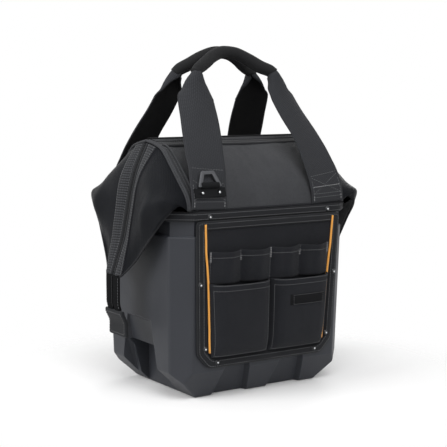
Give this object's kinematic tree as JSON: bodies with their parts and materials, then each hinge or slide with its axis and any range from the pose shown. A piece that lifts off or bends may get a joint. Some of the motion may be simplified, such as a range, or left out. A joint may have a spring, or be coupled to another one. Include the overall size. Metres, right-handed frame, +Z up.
{
  "type": "tool_bag",
  "caption": "Wide-mouth tool bag with a moulded tub base, flap mouth on sewn-in stay rods, webbing handles, pocket panels with gold piping, and a ring on one strap per side",
  "frame": {"origin": "bottom centre of the bag, on the floor plane under its feet", "axes": "+X to the right along the long sides, -Y out of the front pocket face, +Z up to the handles"},
  "size_m": [0.3462, 0.2412, 0.4437],
  "materials": {
    "moulded_plastic": "dark grey moulded plastic with a fine spark texture",
    "board_plastic": "plain black board",
    "woven_fabric": "heavy black ballistic weave",
    "webbing": "dark grey ribbed webbing",
    "piping": "gold cord piping",
    "soft_rubber": "matt black rubber",
    "dark_metal": "black nickel plate",
    "plain_steel": "drawn steel rod"
  },
  "bodies": {
    "shell": {"base_shell": "moulded_plastic", "inner_liner": "woven_fabric", "floor_board": "board_plastic", "rim_band": "webbing", "front_pocket_panel": "woven_fabric", "front_tool_sleeves": "woven_fabric", "front_left_pocket": "woven_fabric", "front_right_pocket": "woven_fabric", "front_left_piping": "piping", "front_right_piping": "piping", "front_label": "soft_rubber", "back_pocket_panel": "woven_fabric", "back_tool_sleeves": "woven_fabric", "back_left_pocket": "woven_fabric", "back_right_pocket": "woven_fabric", "back_left_piping": "piping", "back_right_piping": "piping", "front_left_upper_rivet": "dark_metal", "front_left_side_rivet": "dark_metal", "front_left_lower_rivet": "dark_metal", "front_left_band_rivet": "dark_metal", "front_right_upper_rivet": "dark_metal", "front_right_side_rivet": "dark_metal", "front_right_lower_rivet": "dark_metal", "front_right_band_rivet": "dark_metal", "back_left_upper_rivet": "dark_metal", "back_left_side_rivet": "dark_metal", "back_left_lower_rivet": "dark_metal", "back_left_band_rivet": "dark_metal", "back_right_upper_rivet": "dark_metal", "back_right_side_rivet": "dark_metal", "back_right_lower_rivet": "dark_metal", "back_right_band_rivet": "dark_metal", "front_left_gusset": "woven_fabric", "front_right_gusset": "woven_fabric", "back_left_gusset": "woven_fabric", "back_right_gusset": "woven_fabric"},
    "front_mouth": {"front_roof": "woven_fabric", "front_mouth_frame": "plain_steel", "front_zip_half": "woven_fabric"},
    "back_mouth": {"back_roof": "woven_fabric", "back_mouth_frame": "plain_steel", "back_zip_half": "woven_fabric"},
    "front_handle": {"front_left_strap": "webbing", "front_right_strap": "webbing", "front_grip": "soft_rubber", "front_ring_tab": "dark_metal"},
    "back_handle": {"back_left_strap": "webbing", "back_right_strap": "webbing", "back_grip": "soft_rubber", "back_ring_tab": "dark_metal"},
    "front_ring": {"front_ring": "dark_metal"},
    "back_ring": {"back_ring": "dark_metal"},
    "slider": {"zip_slider": "dark_metal"},
    "pull": {"zip_pull": "dark_metal"},
    "left_tail": {"left_zip_tail": "webbing", "left_end_tab": "soft_rubber"},
    "right_tail": {"right_zip_tail": "webbing", "right_end_tab": "soft_rubber"}
  },
  "joints": [
    {"name": "front_mouth_fold", "type": "hinge", "parent": "shell", "child": "front_mouth", "pos_m": [0, -0.1045, 0.2405], "axis": [1, 0, 0], "range_deg": [0, 65], "deforming": ["front_left_gusset", "front_right_gusset"]},
    {"name": "back_mouth_fold", "type": "hinge", "parent": "shell", "child": "back_mouth", "pos_m": [0, 0.1045, 0.2405], "axis": [-1, 0, 0], "range_deg": [0, 65], "deforming": ["back_left_gusset", "back_right_gusset"]},
    {"name": "front_handle_swing", "type": "hinge", "parent": "front_mouth", "child": "front_handle", "pos_m": [0, -0.1048, 0.243], "axis": [1, 0, 0], "range_deg": [0, 75]},
    {"name": "back_handle_swing", "type": "hinge", "parent": "back_mouth", "child": "back_handle", "pos_m": [0, 0.1048, 0.243], "axis": [-1, 0, 0], "range_deg": [0, 75]},
    {"name": "front_ring_swing", "type": "hinge", "parent": "front_handle", "child": "front_ring", "pos_m": [-0.0906, -0.10456, 0.27226], "axis": [1, 0, 0], "range_deg": [0, 50]},
    {"name": "back_ring_swing", "type": "hinge", "parent": "back_handle", "child": "back_ring", "pos_m": [0.0906, 0.10456, 0.27226], "axis": [-1, 0, 0], "range_deg": [0, 50]},
    {"name": "zip_run", "type": "slide", "parent": "shell", "child": "slider", "axis": [-0.2101, 0, 0.9777], "range_m": [0, 0.06]},
    {"name": "pull_swing", "type": "hinge", "parent": "slider", "child": "pull", "pos_m": [0.15683, 0, 0.20697], "axis": [0, -1, 0], "range_deg": [0, 150]},
    {"name": "left_tail_swing", "type": "hinge", "parent": "shell", "child": "left_tail", "pos_m": [-0.1699, 0, 0.152], "axis": [0, 1, 0], "range_deg": [0, 90]},
    {"name": "right_tail_swing", "type": "hinge", "parent": "shell", "child": "right_tail", "pos_m": [0.1699, 0, 0.152], "axis": [0, -1, 0], "range_deg": [0, 90]}
  ]
}
